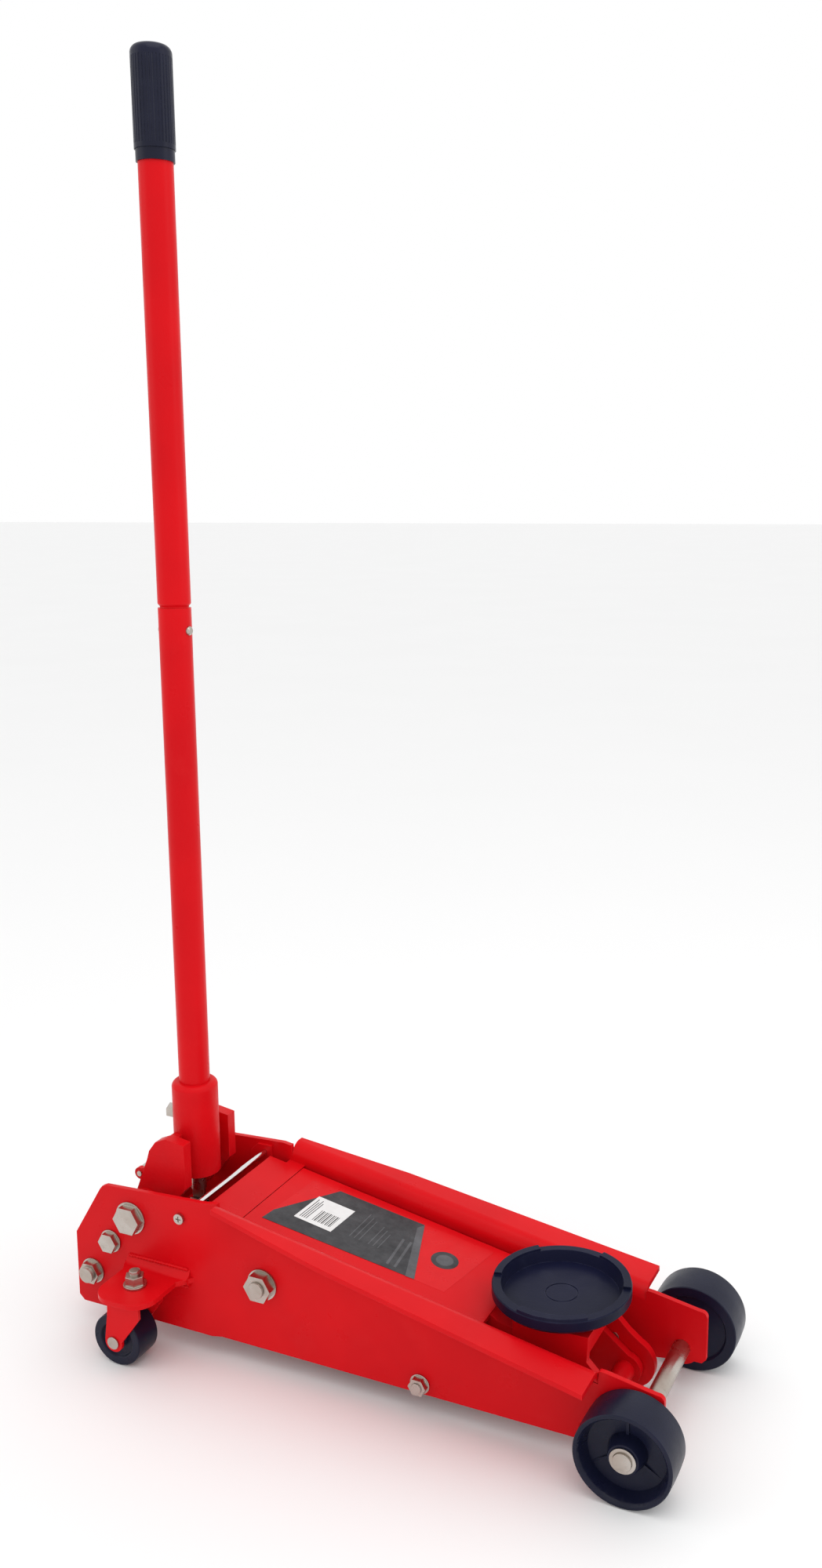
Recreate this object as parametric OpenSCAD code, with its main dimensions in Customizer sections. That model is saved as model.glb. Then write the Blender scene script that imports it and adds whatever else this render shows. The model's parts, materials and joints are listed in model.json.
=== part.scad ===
// Hydraulic trolley jack: long chassis, upright two-piece handle, swivel casters.
// X points to the saddle end, Y to the left, Z up. The floor is z = 0.
// The origin is on the floor, under the middle of the jack's length and width.

/* [Chassis] */
// Distance from the origin to the front axle
axle_x = 280; // [278:1:282]
// Height of the front axle, which is also the front wheel's radius
axle_z = 45; // [44:0.5:46]
// How far the loose front axle has slid to the left
axle_shift = 12.5; // [0:0.5:12.5]
// Outer face of a side plate's rear part, from the centre line
rear_face = 73.5; // [73:0.5:74]
// Outer face of a side plate's front part, from the centre line
front_face = 70.5; // [70:0.5:71]
// Thickness of the side plates
plate_t = 5; // [4.5:0.5:5]
// Height of the side plates' lower edge
plate_low = 23.5; // [22:0.5:25]

/* [Lift arm] */
// X of the lift arm's pivot
pivot_x = -99; // [-100:0.5:-98]
// Height of the lift arm's pivot
pivot_z = 95; // [94:0.5:96]
// X of the pin at the tip of the arm
tip_x = 236; // [235:0.5:237]
// Height of the pin at the tip of the arm, arm down
tip_z = 33; // [32.5:0.5:33.5]
// Radius from the arm's pivot to its heel pin
heel_r = 52; // [51:0.5:53]

/* [Saddle] */
// X of the saddle's centre
saddle_x = 183; // [182:0.5:184]
// Height of the saddle's rim, arm down
saddle_z = 130; // [129:0.5:131]
// Radius of the saddle's rim
saddle_r = 65; // [63:0.5:66]

/* [Handle] */
// X of the handle's axis beside the yoke's pivot
handle_x = -220.5; // [-221:0.5:-220]
// Outer diameter of the handle tube
handle_d = 31; // [30:0.5:31]
// Height of the top of the grip
handle_top = 1215; // [1100:1:1250]
// Height at which the two handle tubes meet
handle_joint_z = 736.5; // [700:0.5:760]
// Forward lean of the upright handle in degrees
lean = 1.05; // [0:0.05:1.5]

/* [Casters] */
// X of the caster's swivel axis
swivel_x = -223.5; // [-224:0.5:-223]
// Distance of the swivel axis from the centre line
swivel_y = 107; // [106:0.5:108]
// Radius of a caster wheel
caster_r = 27.5; // [26.5:0.5:28]
// Distance that the caster wheel trails behind its swivel axis
trail = 15.5; // [14:0.5:16]

/* [Hidden] */
$fn = 64;
red = "firebrick";
dark = "midnightblue";
zinc = "silver";
slip = 0.05;                 // radial clearance of a running fit
gap = 0.4;                   // clearance between parts that pass each other

// Side plates
rear_x = -325;
rear_in = rear_face - plate_t;
front_in = front_face - plate_t;
jog = [-160, -150];          // where the rear part steps in to the front part
flange_x = [-147, 243.5];
flange_end_z = 98;
flange_slope = 0.185;
flange_tilt = atan(flange_slope);
flange_half = [84, 97.5, 110];
flange_mid_x = -24.5;
bend_r = 14;
ear_front = 304;
axle_r = 8.5;
yoke_bolt = [-251, 133];
mid_bolt = [-278, 101.5];
low_bolt = [-303.6, 62.3];
rod_at = [-181.6, 154.8];
screw_at = [-190.5, 146.2];
tie_at = [70, 34];

// Arm
shaft_r = 11;
nut_thread_r = 8;
arm_half = 61;
arm_narrow = 35.5;
arm_cheek_in = 27.5;
arm_plate_t = 4;
arm_slope = 0.187;
arm_rear_r = 62.4;           // the arm's rear edge is an arc about its pivot
arm_wide_x = 126;            // where the top plate narrows, under the saddle
arm_front_x = 201;
arm_front_z = 82;
cover_rear = -169.5;
cover_rear_z = 156;
tip_r = 16;
tip_pin_r = 7;
link_off = [-14, 26];        // link pins, from the arm's pivot and from the tip pin
link_y = [47, 53];
link_pin_r = 5;
heel_a = 31;                 // the heel pin starts this far behind straight down
heel = [pivot_x - heel_r * sin(heel_a), pivot_z - heel_r * cos(heel_a)];
heel_pin_r = 7;
ram_z = pivot_z - heel_r * (1 + cos(heel_a)) / 2;
ram_rod_r = 11;
ram_rear = -276;
ram_front = -172;

// Saddle carrier
carrier_in = 36;
carrier_out = 44;
nose = [237, 36];
nose_r = 26;
seat_z = 107;
neck_z = 112;
post_r = 12;

// Yoke, pump and release valve
socket_r = 23.2;
socket_top = 259;
socket_floor = 176;
tube_r = handle_d / 2;
tube_wall = 2;
cheek_in = 33;
cheek_out = 45;
plunger_x = -284;
plunger_r = 6.5;
cap_z = 140.4;                 // top of the plunger's cap
roller = [plunger_x, 146.3];
roller_r = 6;
roller_pin_r = 3;
block_top = 96;
block_low = 24;
front_block_top = 80;
button_z = 715.5;
button_r = 4.3;

// Wheels
wheel_in = 85.4;
wheel_out = 124.5;
deck = [78.5, 83.5];         // the outrigger's deck
crown_top = 74;

function arc(c, r, a0, a1, n)
    = [for (i = [0 : n]) c + r * [cos(a0 + (a1 - a0) * i / n), sin(a0 + (a1 - a0) * i / n)]];
function flange_at(x) = flange_end_z + flange_slope * (flange_x[1] - x);
function top_at(x) = cover_rear_z - arm_slope * (x - cover_rear);
function step_at(x) = arm_front_z + arm_slope * (arm_front_x - x);
function sheet(x0, x1, t)
    = [[x0, top_at(x0)], [x1, top_at(x1)], [x1, top_at(x1) - t], [x0, top_at(x0) - t]];

module along_y(x, z, r, y0, y1, sides = 64) {
    translate([x, y0, z]) rotate([-90, 0, 0]) cylinder(h = y1 - y0, r = r, $fn = sides);
}
module along_x(x0, x1, r) {
    translate([x0, 0, ram_z]) rotate([0, 90, 0]) cylinder(h = x1 - x0, r = r);
}
// A flat outline in X and Z, given a thickness from y0 to y1
module slab(points, y0, y1) {
    translate([0, y1, 0]) rotate([90, 0, 0]) linear_extrude(height = y1 - y0) polygon(points);
}
module both() {
    children();
    mirror([0, 1, 0]) children();
}
module ring_y(x, z, r, bore, y0, y1) {
    difference() {
        along_y(x, z, r, y0, y1);
        along_y(x, z, bore, y0 - 1, y1 + 1);
    }
}
// The handle parts are modelled upright, then leaned about the yoke's pivot
module leaning() {
    translate([yoke_bolt[0], 0, yoke_bolt[1]]) rotate([0, lean, 0])
        translate([-yoke_bolt[0], 0, -yoke_bolt[1]]) children();
}
module shifted() {
    translate([0, axle_shift, 0]) children();
}

module web() {
    ear_rear = flange_x[1];
    outline = concat(
        [[rear_x + 6, plate_low], [rear_x, plate_low + 6], [rear_x + 2.4, 101.8], [-288, 156.8],
            [-284.8, 160.6],
         [-280, 162.6], [-240.7, 164.8], [flange_x[0] - 1, 169]],
        [for (x = flange_x) [x, flange_at(x) - bend_r / cos(flange_tilt)]],
        [[ear_rear + 0.5, 95], [ear_rear + 2, 96.4], [ear_rear + 7, 96], [ear_front - 8, 87.6]],
        arc([ear_front - 6, 81.5], 6, 80, 0, 6),
        [[ear_front, 38], [ear_front - 4, 33.5], [axle_x + 11, 33.5], [axle_x - 6, 31], [263, 29],
            [222, plate_low]]);
    plan = [[rear_x - 1, rear_face], [jog[0], rear_face], [jog[1], front_face], [ear_front + 1, front_face],
        [ear_front + 1, front_in], [jog[1], front_in], [jog[0], rear_in], [rear_x - 1, rear_in]];
    union() {
        intersection() {
            slab(outline, 40, 90);
            linear_extrude(height = 200) polygon(plan);
        }
        along_y(axle_x, axle_z, 17, front_in, front_face);
    }
}
module flange() {
    length = (flange_x[1] - flange_x[0]) / cos(flange_tilt);
    plan = [[flange_x[0], front_in - 1], [flange_x[0] + 1, flange_half[0]], [flange_mid_x, flange_half[1]],
        [flange_x[1], flange_half[2]], [flange_x[1], front_in - 1]];
    intersection() {
        translate([flange_x[0], 0, flange_at(flange_x[0])]) rotate([0, flange_tilt, 0])
            translate([-10, 0, 0])
            rotate([90, 0, 90]) linear_extrude(height = length + 30) flange_section();
        translate([0, 0, 40]) linear_extrude(height = 160) polygon(plan);
    }
}
module flange_section() {
    difference() {
        union() {
            intersection() {
                translate([front_in + bend_r, -bend_r]) circle(r = bend_r);
                translate([front_in, -bend_r]) square([bend_r, bend_r]);
            }
            translate([front_in + bend_r, -plate_t]) square([50, plate_t]);
        }
        translate([front_in + bend_r, -bend_r]) circle(r = bend_r - plate_t);
    }
}
module side_plate() {
    difference() {
        union() {
            web();
            flange();
        }
        for (b = [yoke_bolt, mid_bolt, low_bolt]) along_y(b[0], b[1], nut_thread_r, 60, 90);
        along_y(screw_at[0], screw_at[1], 3, 60, 90);
        along_y(pivot_x, pivot_z, shaft_r, 60, 90);
        along_y(axle_x, axle_z, axle_r + slip, 60, 90);
        along_y(tie_at[0], tie_at[1], 5, 60, 90);
    }
}
module left_side_plate() {
    color(red) side_plate();
}
module right_side_plate() {
    color(red) mirror([0, 1, 0]) side_plate();
}
// The fixed cover fills in behind the arm: its front edge follows the arm's arc
module rear_cover() {
    x1 = pivot_x - 14;
    lip = 16;
    half = 58;
    color(red) difference() {
        union() {
            slab(sheet(cover_rear, x1, 3), -half, half);
            both() slab(sheet(jog[1], x1, 3), half - 1, front_in);
            both() slab(sheet(cover_rear, x1, lip), half - 3, half);
        }
        along_y(pivot_x, pivot_z, arm_rear_r + 0.6, -80, 80);
    }
}
module outrigger() {
    corner = 22;
    outer = 140;
    x0 = -254;
    x1 = -190;
    plan = concat([[x0 - 8, rear_face], [x0, rear_face + 14]],
        arc([x0 + corner, outer - corner], corner, 180, 90, 8),
        arc([x1 - corner, outer - corner], corner, 90, 0, 8),
        [[x1, rear_face + 14], [x1 + 12, rear_face]]);
    difference() {
        union() {
            translate([0, 0, deck[0]]) linear_extrude(height = deck[1] - deck[0]) polygon(plan);
            translate([x0 - 4, 0, 0]) rotate([90, 0, 90]) linear_extrude(height = x1 - x0 + 12)
                polygon([[rear_face, deck[0] - 6], [rear_face + 6, deck[0]], [rear_face + 8, deck[1]],
                    [rear_face + 3, deck[1] + 3], [rear_face, deck[1] + 8]]);
        }
        translate([swivel_x, swivel_y, 60]) cylinder(h = 40, r = 5);
    }
}
module left_outrigger() {
    color(red) outrigger();
}
module right_outrigger() {
    color(red) mirror([0, 1, 0]) outrigger();
}
module cross_rod() {
    color(zinc) along_y(rod_at[0], rod_at[1], 3, -rear_in + 1, rear_in - 1);
}
module rod_brackets() {
    outline = [[-199, 137], [-183, 137], [-173, 148], [-173, 163], [-190, 163], [-199, 154]];
    color(red) both() difference() {
        slab(outline, rear_in - 3, rear_in);
        along_y(rod_at[0], rod_at[1], 3, 50, rear_in - 1);
        along_y(screw_at[0], screw_at[1], 3, 50, 90);
    }
}
module bracket_screws() {
    head = 3.2;
    color(zinc) both() difference() {
        union() {
            along_y(screw_at[0], screw_at[1], 3, rear_in - 5, rear_face);
            along_y(screw_at[0], screw_at[1], 5.5, rear_face, rear_face + head);
        }
        for (a = [0, 90]) translate([screw_at[0], rear_face + head, screw_at[1]]) rotate([0, a, 0])
            cube([6, 3.5, 1.2], center = true);
    }
}
module tie_rod() {
    color(zinc) union() {
        along_y(tie_at[0], tie_at[1], 6.5, -front_in, front_in);
        both() along_y(tie_at[0], tie_at[1], 5, front_in - 1, front_face + 9.5);
    }
}
module nut_y(x, z, bore, across, y0, h) {
    difference() {
        along_y(x, z, across / cos(30) / 2, y0, y0 + h, 6);
        along_y(x, z, bore, y0 - 1, y0 + h + 1);
    }
}
module tie_rod_nuts() {
    color(zinc) both() union() {
        ring_y(tie_at[0], tie_at[1], 10, 5, front_face, front_face + 1.5);
        nut_y(tie_at[0], tie_at[1], 5, 16, front_face + 1.5, 6.5);
    }
}
module arm_pivot_shaft() {
    color(zinc) union() {
        along_y(pivot_x, pivot_z, shaft_r, -front_face, front_face);
        both() along_y(pivot_x, pivot_z, nut_thread_r, front_face - 1, front_face + 14);
    }
}
module arm_pivot_nuts() {
    color(zinc) both() union() {
        ring_y(pivot_x, pivot_z, 16, nut_thread_r, front_face, front_face + 2);
        nut_y(pivot_x, pivot_z, nut_thread_r, 26, front_face + 2, 9.5);
    }
}
// Pins welded inside the side plates carry the rear ends of the levelling links
module link_rear_pins() {
    x = pivot_x + link_off[0];
    z = pivot_z + link_off[1];
    color(zinc) both() union() {
        along_y(x, z, link_pin_r, link_y[0] - 2, front_in);
        along_y(x, z, 7, link_y[0] - 2.4, link_y[0] - gap);
        along_y(x, z, 9, link_y[1] + gap, front_in);
    }
}
module pump_block() {
    rear = -318;
    step = -266;
    front = -204;
    half = 34;
    color(red) difference() {
        union() {
            translate([rear, -half, block_low]) cube([step - rear, 2 * half, block_top - block_low]);
            translate([step - 1, -27, block_low]) cube([front - step + 1, 54, front_block_top - block_low]);
            both() {
                along_y(mid_bolt[0], mid_bolt[1], 12, 22, rear_in);
                along_y(low_bolt[0], low_bolt[1], 13, half - 2, rear_in);
                translate([mid_bolt[0] - 12, 22, block_top - 6]) cube([24, half - 22, 11.5]);
            }
        }
        along_x(ram_rear, 0, 18);
        along_x(front - 8, 0, 22);
        both() for (b = [mid_bolt, low_bolt]) along_y(b[0], b[1], nut_thread_r, 50, 90);
        translate([plunger_x, 0, 38]) cylinder(h = 80, r = plunger_r + slip);
        translate([handle_x, 0, 67]) cylinder(h = 60, r = 6 + slip);
        translate([-309, 25, block_top - 8]) cylinder(h = 20, r = 5);
    }
}
module reservoir_tube() {
    color(red) difference() {
        along_x(-212, ram_front - 8, 22);
        along_x(-213, ram_front, 19.5);
    }
}
module ram_cylinder() {
    color("dimgray") difference() {
        along_x(ram_rear, ram_front - 8, 18);
        along_x(ram_rear + 6, ram_front, 14.5);
    }
}
module gland_nut() {
    color("dimgray") difference() {
        translate([ram_front - 8, 0, ram_z]) rotate([0, 90, 0]) cylinder(h = 8, r = 23, $fn = 8);
        along_x(ram_front - 9, ram_front + 1, ram_rod_r + slip);
    }
}
module filler_plug() {
    color(zinc) translate([-309, 25, 0]) union() {
        translate([0, 0, block_top - 8]) cylinder(h = 8, r = 5);
        translate([0, 0, block_top]) cylinder(h = 5, r = 8, $fn = 6);
    }
}
module bolt_head(p, across, y0, h) {
    union() {
        along_y(p[0], p[1], across * 0.64, y0, y0 + 1.8);
        along_y(p[0], p[1], across / cos(30) / 2, y0 + 1.8, y0 + h, 6);
    }
}
module block_bolts() {
    color(zinc) both() union() {
        along_y(mid_bolt[0], mid_bolt[1], nut_thread_r, 50, rear_face);
        bolt_head(mid_bolt, 19, rear_face, 8);
    }
}
module block_stud_nuts() {
    color(zinc) both() union() {
        along_y(low_bolt[0], low_bolt[1], nut_thread_r, 50, rear_face + 13);
        bolt_head(low_bolt, 21, rear_face, 9);
    }
}
module yoke_pivot_bolts() {
    color(zinc) both() union() {
        along_y(yoke_bolt[0], yoke_bolt[1], nut_thread_r, cheek_in - 3, rear_face);
        bolt_head(yoke_bolt, 27, rear_face, 9.5);
    }
}
module yoke_bushes() {
    color(zinc) both() ring_y(yoke_bolt[0], yoke_bolt[1], 13, nut_thread_r, cheek_out + 2 + gap, rear_in);
}
module swivel_bolts() {
    color(zinc) both() translate([swivel_x, swivel_y, 0]) union() {
        translate([0, 0, 64]) cylinder(h = 5.8, r = 8.5, $fn = 6);
        translate([0, 0, 69]) cylinder(h = 31, r = 5);
    }
}
module swivel_nuts() {
    color(zinc) both() translate([swivel_x, swivel_y, deck[1]]) difference() {
        union() {
            cylinder(h = 2.5, r = 11.5);
            translate([0, 0, 2.5]) cylinder(h = 9, r = 17 / cos(30) / 2, $fn = 6);
        }
        translate([0, 0, -1]) cylinder(h = 20, r = 5);
    }
}
module swivel_races() {
    color(zinc) both() translate([swivel_x, swivel_y, crown_top + gap]) difference() {
        cylinder(h = deck[0] - crown_top - gap, r = 18);
        translate([0, 0, -1]) cylinder(h = 10, r = 5);
    }
}
module release_stem() {
    head_top = 126;
    color(zinc) translate([handle_x, 0, 0]) difference() {
        union() {
            translate([0, 0, 67.5]) cylinder(h = 45, r = 6);
            translate([0, 0, 108]) cylinder(h = head_top - 108, r = 9.5);
        }
        translate([-20, -3.6, head_top - 6]) cube([40, 7.2, 20]);
    }
}
module yoke_cheek() {
    rear = -250;
    front = -204.6;
    boss_r = 18;
    slab([[rear, 184], [-247, 194], [-239, 205], [-226, 211], [front, 208], [front, 160], [-236.2,
        122.8], [yoke_bolt[0] - 2, yoke_bolt[1]], [rear - 16, 143.5]],
        cheek_in, cheek_out);
    along_y(yoke_bolt[0], yoke_bolt[1], boss_r, cheek_in - 2, cheek_out + 2);
}
module handle_yoke() {
    rear = -250;
    shoulder = 6;
    color(red) leaning() difference() {
        union() {
            translate([handle_x, 0, 160]) cylinder(h = socket_top - 160 - shoulder, r = socket_r);
            translate([handle_x, 0, socket_top - shoulder]) cylinder(h = shoulder, r = socket_r - shoulder);
            translate([handle_x, 0, socket_top - shoulder]) rotate_extrude()
                translate([socket_r - shoulder, 0]) intersection() {
                    circle(r = shoulder);
                    square(shoulder + 1);
                }
            both() yoke_cheek();
            slab([[rear, 158], [rear, 180], [-232, 207], [-222, 207], [-222, 158]], -cheek_in - 1,
                cheek_in + 1);
            both() {
                slab([[roller[0], roller[1] - 5.5], [roller[0], roller[1] + 5.5], [rear + 4, 168],
                    [rear + 4, 157]], 10, 15);
                along_y(roller[0], roller[1], 6.5, 10, 15);
            }
        }
        translate([handle_x, 0, socket_floor]) cylinder(h = 100, r = tube_r + slip);
        translate([handle_x, 0, 150]) cylinder(h = 60, r = 8 + slip);
        along_y(yoke_bolt[0], yoke_bolt[1], nut_thread_r + slip, -60, 60);
        along_y(roller[0], roller[1], roller_pin_r, -30, 30);
        translate([handle_x - 40, 0, 219]) rotate([0, 90, 0]) cylinder(h = 30, r = 5);
    }
}
module roller_pin() {
    color(zinc) leaning() along_y(roller[0], roller[1], roller_pin_r, -16.5, 16.5);
}
module yoke_roller() {
    color(zinc) leaning() ring_y(roller[0], roller[1], roller_r, roller_pin_r + slip, -9.6, 9.6);
}
module set_bolt() {
    color(zinc) leaning() translate([handle_x, 0, 219]) rotate([0, -90, 0]) union() {
        translate([0, 0, socket_r]) cylinder(h = 9, r = 14 / cos(30) / 2, $fn = 6);
        translate([0, 0, tube_r + gap]) cylinder(h = socket_r - tube_r, r = 5);
    }
}
module lower_handle() {
    color(red) leaning() translate([handle_x, 0, 0]) difference() {
        translate([0, 0, socket_floor + gap]) cylinder(h = handle_joint_z - socket_floor - gap, r = tube_r);
        translate([0, 0, socket_floor - 1]) cylinder(h = handle_joint_z, r = tube_r - tube_wall);
        translate([-40, 0, button_z]) rotate([0, 90, 0]) cylinder(h = 80, r = button_r + slip);
    }
}
module upper_handle() {
    neck = tube_r - tube_wall;
    color(red) leaning() translate([handle_x, 0, 0]) difference() {
        union() {
            translate([0, 0, handle_joint_z - 60]) cylinder(h = 62, r = neck);
            translate([0, 0, handle_joint_z + 1.5]) cylinder(h = 2.5, r1 = neck, r2 = tube_r);
            translate([0, 0, handle_joint_z + 4])
                cylinder(h = handle_top - 8 - handle_joint_z - 4, r = tube_r);
        }
        translate([0, 0, handle_joint_z - 61]) cylinder(h = 700, r = neck - tube_wall);
        translate([-40, 0, button_z]) rotate([0, 90, 0]) cylinder(h = 80, r = button_r + slip);
    }
}
module handle_grip() {
    grip_r = 18;
    low = handle_top - 93;
    round_r = 7;
    flutes = 36;
    color(dark) leaning() translate([handle_x, 0, 0]) difference() {
        union() {
            translate([0, 0, low]) cylinder(h = 10, r = grip_r - 1);
            translate([0, 0, low + 10]) cylinder(h = handle_top - round_r - low - 10, r = grip_r);
            translate([0, 0, handle_top - round_r]) cylinder(h = round_r, r = grip_r - round_r);
            translate([0, 0, handle_top - round_r]) rotate_extrude() translate([grip_r - round_r, 0])
                intersection() {
                circle(r = round_r);
                square(round_r + 1);
            }
        }
        translate([0, 0, low - 1]) cylinder(h = handle_top - 7 - low, r = tube_r);
        for (i = [0 : flutes - 1]) rotate([0, 0, i * 360 / flutes])
            translate([grip_r + 0.35, 0, low + 14]) cylinder(h = handle_top - low - 24, r = 0.8, $fn = 6);
    }
}
module release_tongue() {
    color(zinc) leaning() translate([handle_x, 0, 0]) union() {
        translate([0, 0, socket_floor + gap]) cylinder(h = 14, r = tube_r - tube_wall);
        translate([0, 0, 138]) cylinder(h = socket_floor - 137, r = 8);
        translate([-7, -2, 121.5]) cube([14, 4, 17]);
    }
}
module button() {
    reach = tube_r + 1;
    translate([0, 0, 8.2]) cylinder(h = reach - 8.2, r = button_r);
    translate([0, 0, reach]) cylinder(h = 1.5, r1 = button_r, r2 = 2.8);
}
module rear_button() {
    color(zinc) leaning() translate([handle_x, 0, button_z]) rotate([0, -90, 0]) button();
}
module front_button() {
    color(zinc) leaning() translate([handle_x, 0, button_z]) rotate([0, 90, 0]) button();
}
module pump_plunger() {
    color(zinc) translate([plunger_x, 0, 0]) union() {
        translate([0, 0, 70]) cylinder(h = cap_z - 72, r = plunger_r);
        translate([0, 0, cap_z - 4]) cylinder(h = 4, r = 9.8);
    }
}
module plunger_spring() {
    turns = 6;
    wire = 1.1;
    low = block_top;
    high = cap_z - 4;
    pitch = (high - low - 2 * wire) / (turns - 1);
    color(red) translate([plunger_x, 0, 0]) for (i = [0 : turns - 1])
        translate([0, 0, low + wire + i * pitch]) rotate_extrude() translate([8.6, 0])
            circle(r = wire, $fn = 16);
}
module arm_cheek() {
    axis = [sin(heel_a), cos(heel_a)];
    across = [cos(heel_a), -sin(heel_a)];
    hub = [pivot_x, pivot_z];
    inset = arm_plate_t - 0.5;
    along_y(tip_x, tip_z, tip_r, arm_cheek_in, arm_narrow);
    along_y(heel[0], heel[1], 13, arm_cheek_in, arm_narrow);
    slab([hub + 19 * across, heel + 11.5 * across, heel - 11.5 * across, hub - 19 * across],
        arm_cheek_in, arm_narrow);
    slab(concat([[pivot_x - 29, top_at(pivot_x - 29) - inset]],
        arc(hub, arm_rear_r - 1.5, 126, 146, 4),
        [[pivot_x - 22, pivot_z - 8], [pivot_x - 4, pivot_z - 24], [tie_at[0], tie_at[1] + 12], [150,
            36], [200, 24],
         [tip_x - 5, tip_z - 14], [tip_x, tip_z], [tip_x + 8, tip_z + 12], [arm_front_x, arm_front_z - 2],
         [arm_wide_x + 8, step_at(arm_wide_x + 8) - inset], [arm_wide_x - 4,
             top_at(arm_wide_x - 4) - inset]]),
        arm_cheek_in, arm_narrow);
}
module arm_top() {
    riser = arm_wide_x - 4;
    step = arm_wide_x + 8;
    shoulder = arm_wide_x - 8;
    intersection() {
        slab(sheet(pivot_x - 45, arm_wide_x, arm_plate_t), -arm_half, arm_half);
        linear_extrude(height = 200)
            polygon([[pivot_x - 50, -arm_half], [shoulder, -arm_half], [arm_wide_x, -50],
            [arm_wide_x, 50], [shoulder, arm_half], [pivot_x - 50, arm_half]]);
    }
    both() slab(sheet(-60, shoulder, 14), arm_half - 4, arm_half);
    slab([[riser, top_at(riser) - 1], [arm_wide_x + 1, top_at(arm_wide_x) - 1], [step, step_at(step)],
        [arm_front_x, arm_front_z], [arm_front_x, arm_front_z - arm_plate_t], [step,
            step_at(step) - arm_plate_t],
        [riser, top_at(riser) - arm_plate_t - 1]], -arm_narrow, arm_narrow);
}
module lift_arm() {
    sleeve = front_in - 0.7;
    color(red) difference() {
        union() {
            arm_top();
            both() arm_cheek();
            along_y(pivot_x, pivot_z, 15.5, -sleeve, sleeve);
            along_y(tip_x, tip_z, 10, -arm_cheek_in - 1, arm_cheek_in + 1);
            translate([arm_front_x - 5, -arm_cheek_in - 1, 36])
                cube([5, 2 * arm_cheek_in + 2, arm_front_z - 37]);
            translate([-62, -arm_cheek_in - 1, 66]) cube([6, 2 * arm_cheek_in + 2, 65.5]);
        }
        along_y(pivot_x, pivot_z, shaft_r + slip, -80, 80);
        along_y(tip_x, tip_z, tip_pin_r + slip, -60, 60);
        along_y(heel[0], heel[1], heel_pin_r, -60, 60);
        difference() {
            translate([pivot_x - 100, -80, pivot_z]) cube([100, 160, 100]);
            along_y(pivot_x, pivot_z, arm_rear_r, -90, 90);
        }
    }
}
module arm_label() {
    t = 0.4;
    x0 = -120;
    x1 = 60;
    color("dimgray") intersection() {
        slab([[x0, top_at(x0) + t], [x1, top_at(x1) + t], [x1, top_at(x1)], [x0, top_at(x0)]], -60, 60);
        linear_extrude(height = 200) polygon([[-117, -40], [47, -34], [16, 50], [-79, 48], [-115, -22]]);
    }
}
module heel_pin() {
    color(zinc) along_y(heel[0], heel[1], heel_pin_r, -arm_narrow, arm_narrow);
}
module carrier_pin() {
    color(zinc) union() {
        along_y(tip_x, tip_z, tip_pin_r, -carrier_out, carrier_out);
        both() along_y(tip_x, tip_z, 9, carrier_out, carrier_out + 2.4);
    }
}
module link() {
    a = [pivot_x, pivot_z] + link_off;
    b = [tip_x, tip_z] + link_off;
    run = atan2(b[1] - a[1], b[0] - a[0]);
    side = 6 * [-sin(run), cos(run)];
    difference() {
        union() {
            slab([a + side, b + side, b - side, a - side], link_y[0], link_y[1]);
            for (p = [a, b]) along_y(p[0], p[1], 9, link_y[0], link_y[1]);
        }
        along_y(a[0], a[1], link_pin_r + slip, link_y[0] - 1, link_y[1] + 1);
        along_y(b[0], b[1], link_pin_r + gap, link_y[0] - 1, link_y[1] + 1);
    }
}
module left_link() {
    color(zinc) link();
}
module right_link() {
    color(zinc) mirror([0, 1, 0]) link();
}
module saddle_carrier() {
    rear = 152;
    front = 225;
    base_low = seat_z - 7;
    hub_low = 92;
    cheek = [[rear, seat_z], [front, seat_z], [223.6, 82], [236.7, 68.7], [250.6, 57.6], nose, [216,
        26], [198, 34],
        [172, 62], [rear, 88]];
    pin = [tip_x, tip_z] + link_off;
    color(red) difference() {
        union() {
            both() {
                slab(cheek, carrier_in, carrier_out);
                along_y(nose[0], nose[1], nose_r, carrier_in, carrier_out);
            }
            translate([rear, -carrier_in - 1, base_low])
                cube([front - rear, 2 * carrier_in + 2, seat_z - base_low]);
            translate([front - 8, -carrier_in - 1, 86]) cube([6, 2 * carrier_in + 2, 15]);
            translate([saddle_x, 0, hub_low]) cylinder(h = neck_z - hub_low, r = 20);
            translate([saddle_x, 0, seat_z - 1]) cylinder(h = neck_z - seat_z + 1, r = 30);
        }
        translate([saddle_x, 0, 60]) cylinder(h = 100, r = post_r + slip);
        along_y(tip_x, tip_z, tip_pin_r, -60, 60);
        along_y(pin[0], pin[1], link_pin_r, -60, 60);
    }
}
module link_front_pins() {
    p = [tip_x, tip_z] + link_off;
    color(zinc) both() union() {
        along_y(p[0], p[1], link_pin_r, carrier_in, link_y[1] + 2);
        along_y(p[0], p[1], 7.5, link_y[1] + gap, link_y[1] + 2.4);
    }
}
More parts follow.
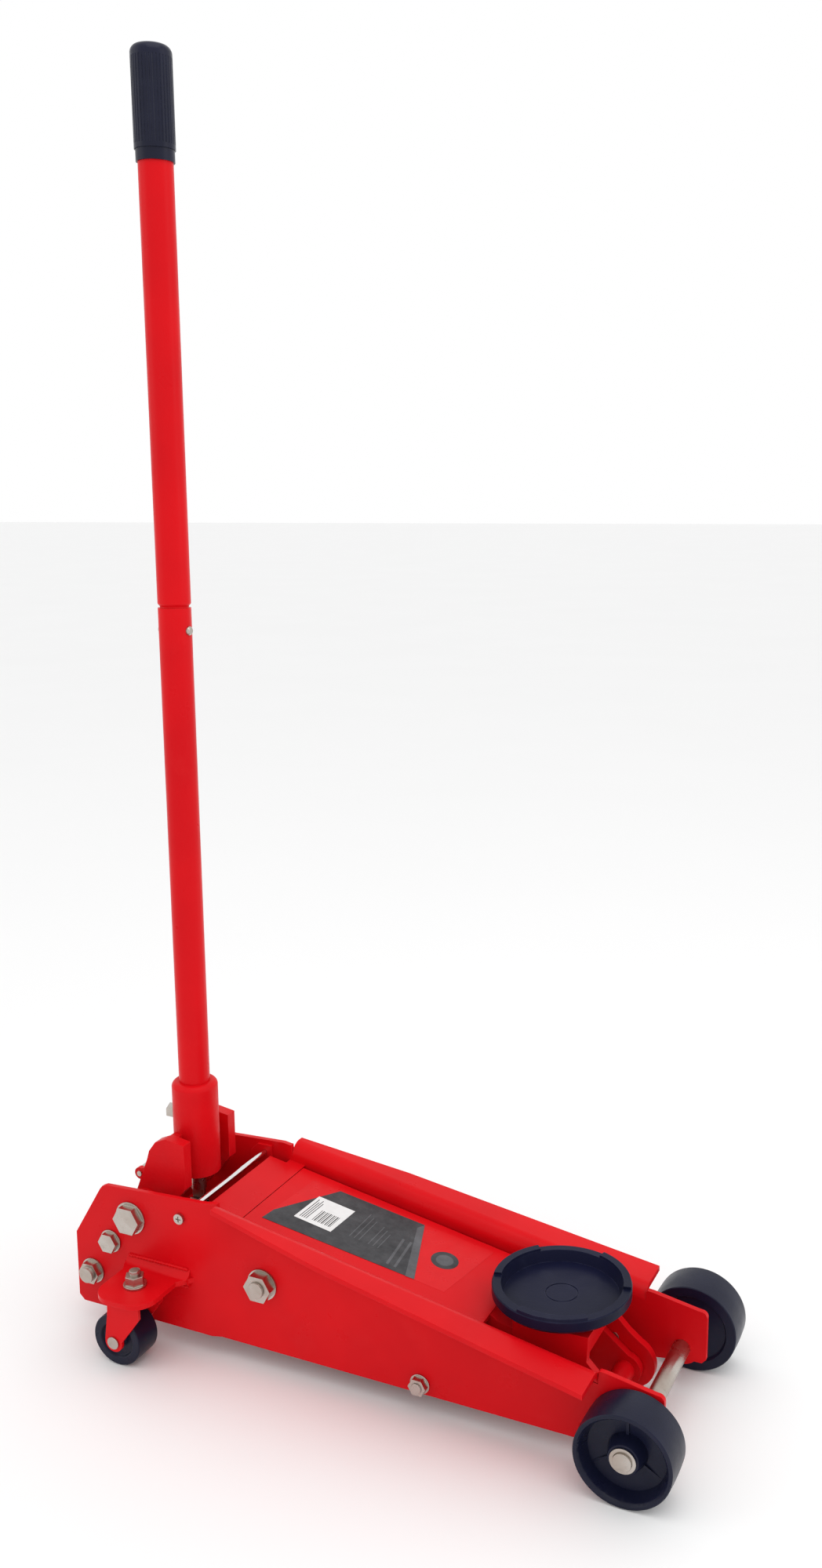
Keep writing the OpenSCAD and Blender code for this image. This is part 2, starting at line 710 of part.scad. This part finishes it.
module saddle() {
    floor_z = saddle_z - 13.3;
    under = neck_z + gap;
    steps = 3;
    color(dark) translate([saddle_x, 0, 0]) difference() {
        union() {
            rotate_extrude() polygon([[0, under], [50, under], [56, neck_z + 0.6], [saddle_r - 4,
                neck_z + 2],
                [saddle_r, neck_z + 6], [saddle_r, saddle_z - 3.5], [saddle_r - 1, saddle_z - 2.5],
                [saddle_r - 8.5, saddle_z - 2.5], [saddle_r - 11.5, floor_z], [0, floor_z]]);
            for (i = [0 : steps - 1]) rotate([0, 0, i * 360 / steps + 12]) rotate_extrude(angle = 60)
                polygon([[saddle_r - 8.5, saddle_z - 3], [saddle_r - 0.6, saddle_z - 3], [saddle_r - 1,
                    saddle_z], [saddle_r - 8.1, saddle_z]]);
            translate([0, 0, 92.5]) cylinder(h = under - 92, r = post_r);
        }
        translate([0, 0, floor_z - 0.8]) difference() {
            cylinder(h = 2, r = 15.5);
            translate([0, 0, -1]) cylinder(h = 4, r = 14.3);
        }
    }
}
// The ram's head is a slotted eye: the heel pin rides up and down in it
module ram_piston() {
    play = [0.95, 5];
    half = 26;
    color(zinc) difference() {
        union() {
            along_x(ram_rear + 7, ram_rear + 21, 14.5 - slip);
            along_x(ram_rear + 20, heel[0] - 13, ram_rod_r);
            translate([heel[0] - 14, -half, ram_z - 18]) cube([28, 2 * half, 36]);
        }
        translate([heel[0] - heel_pin_r - play[0], -40, ram_z - heel_pin_r - play[1]])
            cube([2 * heel_pin_r + 2 * play[0], 80, 2 * heel_pin_r + 2 * play[1]]);
    }
}
module front_axle() {
    color(zinc) shifted() along_y(axle_x, axle_z, axle_r, -wheel_out, wheel_out);
}
module axle_washers() {
    color(zinc) shifted() both() ring_y(axle_x, axle_z, 13, axle_r, wheel_in - 1.9, wheel_in - gap);
}
module axle_clips() {
    color(zinc) shifted() both() ring_y(axle_x, axle_z, 12, axle_r, wheel_out - 3.6, wheel_out - 2);
}
module front_wheel() {
    w = wheel_out - wheel_in;
    crown = [for (i = [0 : 8]) [axle_z - 0.6 * pow((i - 4) / 4, 2), w * (0.02 + 0.96 * i / 8)]];
    profile = concat([[axle_r + slip, 0], [14, 0], [15, 3], [33, 3], [35, 0], [axle_z - 1.4, 0]], crown,
        [[axle_z - 1.4, w], [axle_z - 4, w], [38.5, w - 3], [35.5, w - 15], [18, w - 17], [14.5,
            w - 5], [13.8, w - 4],
         [axle_r + slip, w - 4]]);
    translate([axle_x, wheel_in, axle_z]) rotate([-90, 0, 0]) union() {
        rotate_extrude($fn = 96) polygon(profile);
        for (a = [0 : 120 : 240]) rotate([0, 0, a + 30]) translate([14, -1.2, w - 20]) cube([23, 2.4, 5]);
    }
}
module left_front_wheel() {
    color(dark) shifted() front_wheel();
}
module right_front_wheel() {
    color(dark) shifted() mirror([0, 1, 0]) front_wheel();
}
module caster_fork() {
    cheek = [16, 19.5];
    low = crown_top - 4;
    outline = [[-20, low + 1], [17, low + 1], [17, 60], [-trail + 10, caster_r + 2], [-trail - 10,
        caster_r + 2], [-21, 58]];
    translate([swivel_x, swivel_y, 0]) difference() {
        union() {
            translate([0, 0, low]) cylinder(h = 4, r = 21);
            translate([-20, -cheek[1], low]) cube([37, 2 * cheek[1], 4]);
            for (s = [0, 1]) mirror([0, s, 0]) {
                slab(outline, cheek[0], cheek[1]);
                along_y(-trail, caster_r, 10, cheek[0], cheek[1]);
            }
        }
        translate([0, 0, 40]) cylinder(h = 50, r = 5 + slip);
        along_y(-trail, caster_r, 4, -30, 30);
    }
}
module left_caster_fork() {
    color(red) caster_fork();
}
module right_caster_fork() {
    color(red) mirror([0, 1, 0]) caster_fork();
}
module caster_axle() {
    half = 19.5;
    translate([swivel_x - trail, swivel_y, caster_r]) rotate([-90, 0, 0]) union() {
        translate([0, 0, -half]) cylinder(h = 2 * half, r = 4);
        for (s = [0, 1]) mirror([0, 0, s]) translate([0, 0, half]) cylinder(h = 1.8, r = 6.5);
    }
}
module left_caster_axle() {
    color(zinc) caster_axle();
}
module right_caster_axle() {
    color(zinc) mirror([0, 1, 0]) caster_axle();
}
module caster_wheel() {
    half = 15;
    rim = caster_r;
    side = [[4 + slip, half + 0.6], [8, half + 0.6], [9, half - 3], [17, half - 3], [19, half],
        [rim - 0.8, half],
        [rim - 0.2, half - 1.2], [rim, half / 3]];
    profile = concat(side, [for (i = [len(side) - 1 : -1 : 0]) [side[i][0], -side[i][1]]]);
    translate([swivel_x - trail, swivel_y, caster_r]) rotate([-90, 0, 0]) rotate_extrude() polygon(profile);
}
module left_caster_wheel() {
    color(dark) caster_wheel();
}
module right_caster_wheel() {
    color(dark) mirror([0, 1, 0]) caster_wheel();
}

left_side_plate();
right_side_plate();
rear_cover();
left_outrigger();
right_outrigger();
cross_rod();
rod_brackets();
bracket_screws();
tie_rod();
tie_rod_nuts();
arm_pivot_shaft();
arm_pivot_nuts();
link_rear_pins();
pump_block();
reservoir_tube();
ram_cylinder();
gland_nut();
filler_plug();
block_bolts();
block_stud_nuts();
yoke_pivot_bolts();
yoke_bushes();
swivel_bolts();
swivel_nuts();
swivel_races();
release_stem();
handle_yoke();
roller_pin();
yoke_roller();
set_bolt();
lower_handle();
upper_handle();
handle_grip();
release_tongue();
rear_button();
front_button();
pump_plunger();
plunger_spring();
lift_arm();
arm_label();
heel_pin();
carrier_pin();
left_link();
right_link();
saddle_carrier();
link_front_pins();
saddle();
ram_piston();
front_axle();
axle_washers();
axle_clips();
left_front_wheel();
right_front_wheel();
left_caster_fork();
right_caster_fork();
left_caster_axle();
right_caster_axle();
left_caster_wheel();
right_caster_wheel();
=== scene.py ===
import json
import math

import bpy
from mathutils import Matrix, Vector


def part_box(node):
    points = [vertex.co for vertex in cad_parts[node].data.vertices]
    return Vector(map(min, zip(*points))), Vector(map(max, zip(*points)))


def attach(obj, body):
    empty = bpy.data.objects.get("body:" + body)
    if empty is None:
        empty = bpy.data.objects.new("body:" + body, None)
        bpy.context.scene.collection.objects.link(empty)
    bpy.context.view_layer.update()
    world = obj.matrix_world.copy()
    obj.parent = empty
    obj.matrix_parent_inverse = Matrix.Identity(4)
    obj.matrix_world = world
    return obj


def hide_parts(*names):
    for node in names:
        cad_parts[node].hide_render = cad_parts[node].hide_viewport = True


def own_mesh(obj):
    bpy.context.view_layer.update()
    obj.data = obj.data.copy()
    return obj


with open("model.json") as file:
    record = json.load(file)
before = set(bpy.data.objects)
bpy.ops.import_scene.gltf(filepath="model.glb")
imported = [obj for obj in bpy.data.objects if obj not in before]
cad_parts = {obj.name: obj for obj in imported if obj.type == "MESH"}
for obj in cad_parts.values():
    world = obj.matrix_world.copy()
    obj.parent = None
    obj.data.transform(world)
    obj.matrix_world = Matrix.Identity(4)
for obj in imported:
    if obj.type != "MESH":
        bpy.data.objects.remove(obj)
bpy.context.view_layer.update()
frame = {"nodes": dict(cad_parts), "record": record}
nodes = frame["nodes"]
materials = {}


# ---------------------------------------------------------------- node helpers
class Shader:
    """A material's node tree, with short calls for the nodes used here."""

    def __init__(self, name):
        self.name = name
        self.mat = bpy.data.materials.new("look_" + name)
        self.mat.use_nodes = True
        self.tree = self.mat.node_tree
        self.bsdf = self.tree.nodes["Principled BSDF"]
        self.coords = self.add("ShaderNodeTexCoord").outputs["Object"]

    def add(self, kind):
        return self.tree.nodes.new(kind)

    def link(self, source, target):
        self.tree.links.new(source, target)

    def noise(self, scale, detail=4.0, roughness=0.55, stretch=None):
        node = self.add("ShaderNodeTexNoise")
        node.inputs["Scale"].default_value = scale
        node.inputs["Detail"].default_value = detail
        node.inputs["Roughness"].default_value = roughness
        source = self.coords
        if stretch:
            source = self.stretched(stretch)
        self.link(source, node.inputs["Vector"])
        return node.outputs["Fac"]

    def stretched(self, scale):
        mapping = self.add("ShaderNodeMapping")
        mapping.inputs["Scale"].default_value = scale
        self.link(self.coords, mapping.inputs["Vector"])
        return mapping.outputs["Vector"]

    def span(self, value, low, high, to_low=0.0, to_high=1.0):
        node = self.add("ShaderNodeMapRange")
        node.inputs["From Min"].default_value = low
        node.inputs["From Max"].default_value = high
        node.inputs["To Min"].default_value = to_low
        node.inputs["To Max"].default_value = to_high
        self.link(value, node.inputs["Value"])
        return node.outputs["Result"]

    def math(self, kind, a, b):
        node = self.add("ShaderNodeMath")
        node.operation = kind
        for socket, value in zip(node.inputs, (a, b)):
            if isinstance(value, (int, float)):
                socket.default_value = value
            else:
                self.link(value, socket)
        return node.outputs["Value"]

    def mix(self, factor, a, b):
        node = self.add("ShaderNodeMix")
        node.data_type = "RGBA"
        self.link(factor, node.inputs["Factor"])
        for socket, value in zip((node.inputs["A"], node.inputs["B"]), (a, b)):
            if isinstance(value, tuple):
                socket.default_value = (*value, 1.0)
            else:
                self.link(value, socket)
        return node.outputs["Result"]

    def bump(self, height, strength, distance, normal=None):
        node = self.add("ShaderNodeBump")
        node.inputs["Strength"].default_value = strength
        node.inputs["Distance"].default_value = distance
        self.link(height, node.inputs["Height"])
        if normal:
            self.link(normal, node.inputs["Normal"])
        return node.outputs["Normal"]

    def edges(self, radius):
        """1 on sharp edges and 0 on faces."""
        bevel = self.add("ShaderNodeBevel")
        bevel.samples = 4
        bevel.inputs["Radius"].default_value = radius
        geometry = self.add("ShaderNodeNewGeometry")
        dot = self.add("ShaderNodeVectorMath")
        dot.operation = "DOT_PRODUCT"
        self.link(bevel.outputs["Normal"], dot.inputs[0])
        self.link(geometry.outputs["Normal"], dot.inputs[1])
        return self.span(dot.outputs["Value"], 0.98, 0.8)

    def finish(self, color, roughness, normal=None, metallic=0.0, coat=0.0, specular=0.5):
        self.link(color, self.bsdf.inputs["Base Color"])
        self.link(roughness, self.bsdf.inputs["Roughness"])
        if normal:
            self.link(normal, self.bsdf.inputs["Normal"])
        self.bsdf.inputs["Metallic"].default_value = metallic
        self.bsdf.inputs["Coat Weight"].default_value = coat
        self.bsdf.inputs["Coat Roughness"].default_value = 0.12
        self.bsdf.inputs["Specular IOR Level"].default_value = specular
        materials[self.name] = self.mat
        return self.mat


# ---------------------------------------------------------------- materials
def paint(name, base, dark, light, peel, rough, wear_edge=0.5):
    """Powder coat: slow colour drift, orange peel, and edges rubbed a little lighter."""
    s = Shader(name)
    drift = s.span(s.noise(7.0, 3.0), 0.35, 0.65)
    color = s.mix(drift, base, dark)
    rub = s.math("MULTIPLY", s.edges(0.0012), s.span(s.noise(60.0, 5.0), 0.42, 0.62))
    color = s.mix(s.math("MULTIPLY", rub, wear_edge), color, light)
    dust = s.math("MULTIPLY", s.span(s.noise(25.0, 6.0, 0.65), 0.58, 0.8), 0.12)
    color = s.mix(dust, color, light)
    roughness = s.span(s.noise(35.0, 4.0), 0.3, 0.7, rough - 0.06, rough + 0.08)
    normal = s.bump(s.noise(420.0, 2.0), peel, 0.0004)
    normal = s.bump(s.noise(14.0, 2.0), 0.08, 0.002, normal)
    return s.finish(color, roughness, normal, coat=0.01, specular=0.1)


def casting(name, base, dark, light):
    """Paint over a rough sand casting."""
    s = Shader(name)
    color = s.mix(s.span(s.noise(18.0, 5.0), 0.3, 0.7), base, dark)
    rub = s.math("MULTIPLY", s.edges(0.0015), s.span(s.noise(80.0, 4.0), 0.45, 0.6))
    color = s.mix(s.math("MULTIPLY", rub, 0.5), color, light)
    roughness = s.span(s.noise(60.0, 4.0), 0.3, 0.7, 0.3, 0.48)
    normal = s.bump(s.noise(260.0, 4.0, 0.7), 0.35, 0.0008)
    normal = s.bump(s.noise(40.0, 3.0), 0.2, 0.002, normal)
    return s.finish(color, roughness, normal, coat=0.01, specular=0.1)


def moulded(name, base, light, rough, grain=0.2):
    """Moulded plastic: fine grain, faint mottling and scuffed edges."""
    s = Shader(name)
    color = s.mix(s.span(s.noise(22.0, 5.0), 0.3, 0.7), base, tuple(c * 1.5 for c in base))
    scuff = s.math("MULTIPLY", s.edges(0.0012), s.span(s.noise(90.0, 5.0), 0.4, 0.65))
    color = s.mix(s.math("MULTIPLY", scuff, 0.45), color, light)
    roughness = s.span(s.noise(50.0, 5.0), 0.3, 0.7, rough - 0.08, rough + 0.1)
    normal = s.bump(s.noise(600.0, 2.0), grain, 0.0004)
    return s.finish(color, roughness, normal, specular=0.2)


def plated(name, base, tint, rough, brush=(30.0, 30.0, 30.0), metallic=1.0):
    """Plated or machined steel with patchy tint and fine scratches. In zinc the warm copper cast of base
    and tint is painted reflection of the red paint.
    """
    s = Shader(name)
    color = s.mix(s.span(s.noise(30.0, 5.0), 0.35, 0.7), base, tint)
    stain = s.math("MULTIPLY", s.span(s.noise(120.0, 6.0, 0.7), 0.6, 0.75), 0.35)
    color = s.mix(stain, color, tuple(c * 0.45 for c in tint))
    roughness = s.span(s.noise(1.0, 4.0, 0.6, brush), 0.3, 0.7, rough - 0.06, rough + 0.1)
    normal = s.bump(s.noise(1.0, 3.0, 0.6, tuple(b * 12 for b in brush)), 0.12, 0.0003)
    return s.finish(color, roughness, normal, metallic=metallic)


def film(name, base, mottled, rough=0.35):
    """Printed vinyl film with a cloudy print and tiny pits."""
    s = Shader(name)
    color = s.mix(s.span(s.noise(60.0, 6.0, 0.7), 0.3, 0.72), base, mottled)
    roughness = s.span(s.noise(90.0, 3.0), 0.3, 0.7, rough - 0.05, rough + 0.1)
    normal = s.bump(s.noise(300.0, 3.0), 0.1, 0.0003)
    return s.finish(color, roughness, normal, specular=0.15)


def make_materials():
    red = (0.68, 0.004, 0.008)
    deep = (0.59, 0.003, 0.007)
    worn = (0.74, 0.035, 0.035)
    paint("red_paint", red, deep, worn, 0.10, 0.32)
    casting("red_casting", red, deep, worn)
    paint("navy_paint", (0.008, 0.009, 0.030), (0.005, 0.006, 0.019), (0.06, 0.065, 0.12), 0.15, 0.34, 0.5)
    moulded("navy_wheel", (0.0055, 0.0065, 0.019), (0.035, 0.038, 0.06), 0.33)
    moulded("navy_grip", (0.006, 0.007, 0.019), (0.04, 0.045, 0.07), 0.30, 0.12)
    # zinc: its own grey, darkened, with a warm copper cast in base and tint that is painted reflection of
    # the red paint around it
    plated("zinc", (0.54, 0.50, 0.46), (0.42, 0.36, 0.31), 0.26)
    plated("chrome", (0.82, 0.82, 0.83), (0.74, 0.73, 0.73), 0.12, (20.0, 160.0, 20.0))
    plated("steel", (0.30, 0.30, 0.31), (0.20, 0.19, 0.19), 0.34)
    film("label_dark", (0.030, 0.030, 0.033), (0.075, 0.075, 0.08))
    film("label_grey", (0.075, 0.075, 0.08), (0.13, 0.13, 0.14))
    film("label_white", (0.80, 0.80, 0.80), (0.70, 0.70, 0.69), 0.4)
    film("label_ink", (0.02, 0.02, 0.02), (0.05, 0.05, 0.05), 0.45)
    film("label_red", (0.68, 0.005, 0.009), (0.62, 0.004, 0.008), 0.3)


BY_SLOT = {
    "red_paint": "red_paint",
    "dark_paint": "navy_paint",
    "dark_wheel": "navy_wheel",
    "grip_plastic": "navy_grip",
    "zinc_steel": "zinc",
    "chrome_rod": "chrome",
    "raw_steel": "steel",
    "label_film": "label_dark",
}


# ---------------------------------------------------------------- CAD nodes
def smooth(obj):
    for polygon in obj.data.polygons:
        polygon.use_smooth = True


def bevel(obj, width, segments=2, angle=38, dissolve=True):
    """Welds the mesh and rounds its sharp edges. Without dissolve, flat faces keep their triangles."""
    smooth(obj)
    weld = obj.modifiers.new("weld", "WELD")
    weld.merge_threshold = 0.00001
    if dissolve:
        flat = obj.modifiers.new("flat", "DECIMATE")
        flat.decimate_type = "DISSOLVE"
        flat.angle_limit = math.radians(0.8)
    edge = obj.modifiers.new("edge", "BEVEL")
    edge.width = width
    edge.segments = segments
    edge.limit_method = "ANGLE"
    edge.angle_limit = math.radians(angle)
    edge.harden_normals = True
    normal = obj.modifiers.new("normal", "WEIGHTED_NORMAL")
    normal.keep_sharp = True


BEVELS = {
    "left_side_plate": 0.0012,
    "right_side_plate": 0.0012,
    "lift_arm": 0.0012,
    "rear_cover": 0.0008,
    "left_outrigger": 0.0016,
    "right_outrigger": 0.0016,
    "handle_yoke": 0.0022,
    "saddle": 0.00035,
    "saddle_carrier": 0.0015,
    "pump_block": 0.0020,
    "left_caster_fork": 0.0010,
    "right_caster_fork": 0.0010,
    "left_front_wheel": 0.0009,
    "right_front_wheel": 0.0009,
    "left_caster_wheel": 0.0007,
    "right_caster_wheel": 0.0007,
    "handle_grip": 0.0003,
    "arm_label": 0.00008,
}


def dress_nodes():
    slots = {p["node"]: p["material_slot"] for p in frame["record"]["subparts"]}
    for name, obj in nodes.items():
        chosen = BY_SLOT[slots[name]]
        if name in ("handle_yoke", "pump_block"):
            chosen = "red_casting"
        obj.data.materials.clear()
        obj.data.materials.append(materials[chosen])
        # The saddle's dish floor renders black when its faces are dissolved
        bevel(obj, BEVELS.get(name, 0.0004), dissolve=name != "saddle")


# ---------------------------------------------------------------- mesh helpers
def make(name, verts, faces, material, body):
    mesh = bpy.data.meshes.new(name)
    mesh.from_pydata([tuple(v) for v in verts], [], faces)
    mesh.materials.append(materials[material])
    obj = bpy.data.objects.new(name, mesh)
    bpy.context.scene.collection.objects.link(obj)
    smooth(obj)
    if body:
        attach(obj, body)
    return obj


def tube_mesh(path, radii, sides):
    """Rings of points around a path; returns vertices and faces with closed ends."""
    verts, faces = [], []
    side = None
    for i, point in enumerate(path):
        ahead = path[min(i + 1, len(path) - 1)] - path[max(i - 1, 0)]
        along = ahead.normalized()
        if side is None:
            side = along.orthogonal().normalized()
        side = (side - along * side.dot(along)).normalized()
        up = along.cross(side)
        for k in range(sides):
            a = 2 * math.pi * k / sides
            verts.append(point + radii[i] * (math.cos(a) * side + math.sin(a) * up))
    for i in range(len(path) - 1):
        for k in range(sides):
            a, b = i * sides + k, i * sides + (k + 1) % sides
            faces.append((a, b, b + sides, a + sides))
    faces.append(tuple(reversed(range(sides))))
    last = (len(path) - 1) * sides
    faces.append(tuple(range(last, last + sides)))
    return verts, faces


THREAD_STEPS = 24


def thread(name, start, axis, radius, length, pitch, body):
    """The ridge of a screw thread, wound round the end of a stud."""
    axis = axis.normalized()
    u = axis.orthogonal().normalized()
    v = axis.cross(u)
    steps = int(THREAD_STEPS * length / pitch)
    path = []
    for i in range(steps + 1):
        a = 2 * math.pi * i / THREAD_STEPS
        path.append(start + axis * (length * i / steps) + radius * (math.cos(a) * u + math.sin(a) * v))
    verts, faces = tube_mesh(path, [pitch * 0.3] * len(path), 5)
    make(name, verts, faces, "zinc", body)


def weld_bead(name, points, radius, body):
    """A rippled fillet of weld, laid along a line of points."""
    path, radii = [], []
    for a, b in zip(points, points[1:]):
        count = max(2, int((b - a).length / 0.0007))
        for i in range(count):
            path.append(a.lerp(b, i / count))
    path.append(points[-1])
    for i in range(len(path)):
        ripple = 0.16 * math.sin(i * 1.25) + 0.06 * math.sin(i * 0.37)
        radii.append(radius * (1 + ripple))
    radii[0] = radius * 0.5
    radii[-1] = radius * 0.5
    verts, faces = tube_mesh(path, radii, 8)
    make(name, verts, faces, "red_casting", body)


# ---------------------------------------------------------------- details
def plunger_spring():
    """One wound wire in place of the CAD part's closed rings."""
    low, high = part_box("plunger_spring")
    wire = 0.0011
    centre = (low + high) / 2
    radius = (high.x - low.x) / 2 - wire
    turns = 6.5
    steps = 260
    path = []
    for i in range(steps + 1):
        t = i / steps
        rise = min(max((t * turns - 0.8) / (turns - 1.6), 0), 1)
        z = low.z + wire + (high.z - low.z - 2 * wire) * rise
        a = 2 * math.pi * turns * t
        path.append(Vector((centre.x + radius * math.cos(a), centre.y + radius * math.sin(a), z)))
    verts, faces = tube_mesh(path, [wire] * len(path), 10)
    spring = make("wound_spring", verts, faces, "red_paint", None)
    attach(spring, "frame")
    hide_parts("plunger_spring")
    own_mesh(spring)


def label_height(x):
    low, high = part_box("arm_label")
    t = (x - low.x) / (high.x - low.x)
    return high.z + t * (low.z + LABEL_THICK - high.z)


LABEL_THICK = 0.0004


def patch(name, corners, lift, thick, material):
    """A thin flat film on the arm's top plate, from corners in X and Y."""
    verts, faces = [], []
    count = len(corners)
    for x, y in corners:
        verts.append(Vector((x, y, label_height(x) + lift)))
    for x, y in corners:
        verts.append(Vector((x, y, label_height(x) + lift - thick)))
    faces.append(tuple(range(count)))
    faces.append(tuple(reversed(range(count, 2 * count))))
    for i in range(count):
        j = (i + 1) % count
        faces.append((i, i + count, j + count, j))
    obj = make(name, verts, faces, material, "arm")
    for polygon in obj.data.polygons:
        polygon.use_smooth = False


def label_point(u, v):
    """A point on the label, from its rear edge (u 0 to 1) and its right edge (v 0 to 1)."""
    low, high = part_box("arm_label")
    return (low.x + u * (high.x - low.x), low.y + v * (high.y - low.y))


def oblong(u0, u1, v0, v1, skew=0.0):
    top = [label_point(u1 + skew, v1), label_point(u0 + skew, v1)]
    return [label_point(u0, v0), label_point(u1, v0)] + top


def label_prints():
    """Blank print: a pale sticker with plain bars, rows of short dashes and a plain round badge."""
    panel = [label_point(*p) for p in ((0.0, 0.02), (1.19, 0.07), (1.27, 1.035), (0.04, 0.98))]
    patch("label_panel", panel, -LABEL_THICK + 0.00012, 0.0001, "label_red")
    strip = [label_point(*p) for p in ((0.945, 0.055), (1.0, 0.066), (0.815, 0.995), (0.79, 0.90))]
    patch("label_strip", strip, 0.00004, 0.00003, "label_grey")
    patch("label_sticker", oblong(0.142, 0.395, 0.235, 0.735, 0.015), 0.00008, 0.00006, "label_white")
    for i in range(11):
        u = 0.245 + 0.012 * i
        width = (0.004, 0.007, 0.003, 0.006)[i % 4]
        patch(f"label_bar_{i}", oblong(u, u + width, 0.30, 0.52, 0.004), 0.0001, 0.00002, "label_ink")
    for i in range(4):
        u = 0.165 + 0.014 * i
        row = oblong(u, u + 0.005, 0.28, 0.68 - 0.05 * (i % 2), 0.01)
        patch(f"label_row_{i}", row, 0.0001, 0.00002, "label_ink")
    for i in range(6):
        u = 0.50 + 0.032 * i + (0.03 if i > 2 else 0)
        line = oblong(u, u + 0.006, 0.30, 0.80 - 0.04 * i, 0.0)
        patch(f"label_line_{i}", line, 0.00006, 0.00003, "label_grey")
    for i in range(2):
        u = 0.80 + 0.05 * i
        patch(f"label_wide_{i}", oblong(u, u + 0.016, 0.12, 0.62, -0.03), 0.00006, 0.00003, "label_grey")
    badge()


BADGE_SIDES = 40


def badge():
    cx, cy = label_point(1.065, 0.56)
    discs = (("ring", 0.0135, 0.00002, "label_dark"), ("dot", 0.0085, 0.00005, "label_grey"))
    for name, radius, lift, material in discs:
        points = []
        for k in range(BADGE_SIDES):
            a = 2 * math.pi * k / BADGE_SIDES
            points.append((cx + radius * math.cos(a), cy + radius * math.sin(a)))
        patch(f"label_badge_{name}", points, lift - LABEL_THICK + 0.00018, 0.0001, material)


def stud_threads():
    for side, sign in (("left", 1), ("right", -1)):
        axis = Vector((0, sign, 0))
        studs = [("block_stud_nuts", 0.0079, 0.0040), ("arm_pivot_shaft", 0.0079, 0.0025),
                 ("tie_rod", 0.0049, 0.0016)]
        for node, radius, inset in studs:
            low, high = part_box(node)
            reach = high.y if sign > 0 else -low.y
            start = Vector(((low.x + high.x) / 2, sign * (reach - inset), (low.z + high.z) / 2))
            thread(f"thread_{node}_{side}", start, axis, radius, inset - 0.0006, 0.0012, "frame")
        low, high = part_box("swivel_bolts")
        start = Vector(((low.x + high.x) / 2, sign * (high.y - 0.0085), high.z - 0.0046))
        thread(f"thread_swivel_{side}", start, Vector((0, 0, 1)), 0.0049, 0.0042, 0.0011, "frame")


def outrigger_welds():
    for side, sign in (("left", 1), ("right", -1)):
        low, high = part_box(f"{side}_outrigger")
        wall = min(abs(low.y), abs(high.y)) + 0.0006
        top = [Vector((x, sign * wall, high.z)) for x in (low.x + 0.006, high.x - 0.006)]
        weld_bead(f"weld_top_{side}", top, 0.0016, "frame")
        under = [Vector((x, sign * wall, low.z)) for x in (low.x + 0.006, high.x - 0.006)]
        weld_bead(f"weld_under_{side}", under, 0.0016, "frame")


def camera():
    data = bpy.data.cameras.new("camera")
    obj = bpy.data.objects.new("camera", data)
    bpy.context.scene.collection.objects.link(obj)
    forward = Vector((-0.40561, 0.88452, -0.23046))
    right = Vector((0.90978, 0.41500, -0.00843))
    up = right.cross(forward).normalized()
    right = forward.cross(up).normalized()
    matrix = Matrix((right, up, -forward)).transposed().to_4x4()
    matrix.translation = Vector((0.59525, -1.08406, 0.84324))
    obj.matrix_world = matrix
    data.sensor_width = 36.0
    data.lens = 32.052
    data.shift_x = -0.04042
    data.shift_y = 0.02165
    data.clip_start = 0.05
    bpy.context.scene.camera = obj


def area_light(name, place, target, size, power, color):
    data = bpy.data.lights.new(name, "AREA")
    data.shape = "RECTANGLE"
    data.size, data.size_y = size
    data.energy = power
    data.color = color
    obj = bpy.data.objects.new(name, data)
    bpy.context.scene.collection.objects.link(obj)
    obj.location = place
    obj.rotation_euler = (Vector(target) - Vector(place)).to_track_quat("-Z", "Y").to_euler()


def lights():
    world = bpy.data.worlds.new("world")
    world.use_nodes = True
    bpy.context.scene.world = world
    background = world.node_tree.nodes["Background"]
    background.inputs["Color"].default_value = (1.0, 1.0, 1.0, 1.0)
    background.inputs["Strength"].default_value = 1.0
    area_light("key", (0.6, -0.5, 2.4), (0, 0, 0.1), (1.6, 1.6), 9, (1, 1, 1))
    area_light("left", (-2.0, -1.4, 1.5), (-0.1, 0, 0.4), (1.0, 2.0), 4, (1, 1, 1))
    area_light("right", (1.9, 0.4, 1.3), (0, 0, 0.3), (0.8, 1.8), 4, (1, 1, 1))
    bpy.context.scene.view_settings.view_transform = "Standard"


def floor():
    s = Shader("floor_white")
    color = s.mix(s.noise(1.5, 2.0), (0.92, 0.92, 0.92), (0.90, 0.90, 0.90))
    s.finish(color, s.span(s.noise(3.0), 0.3, 0.7, 0.7, 0.8))
    mesh = bpy.data.meshes.new("floor")
    r = 30.0
    mesh.from_pydata([(-r, -r, 0), (r, -r, 0), (r, r, 0), (-r, r, 0)], [], [(0, 1, 2, 3)])
    mesh.materials.append(materials["floor_white"])
    obj = bpy.data.objects.new("floor", mesh)
    bpy.context.scene.collection.objects.link(obj)


make_materials()
dress_nodes()
plunger_spring()
label_prints()
stud_threads()
outrigger_welds()
camera()
lights()
floor()
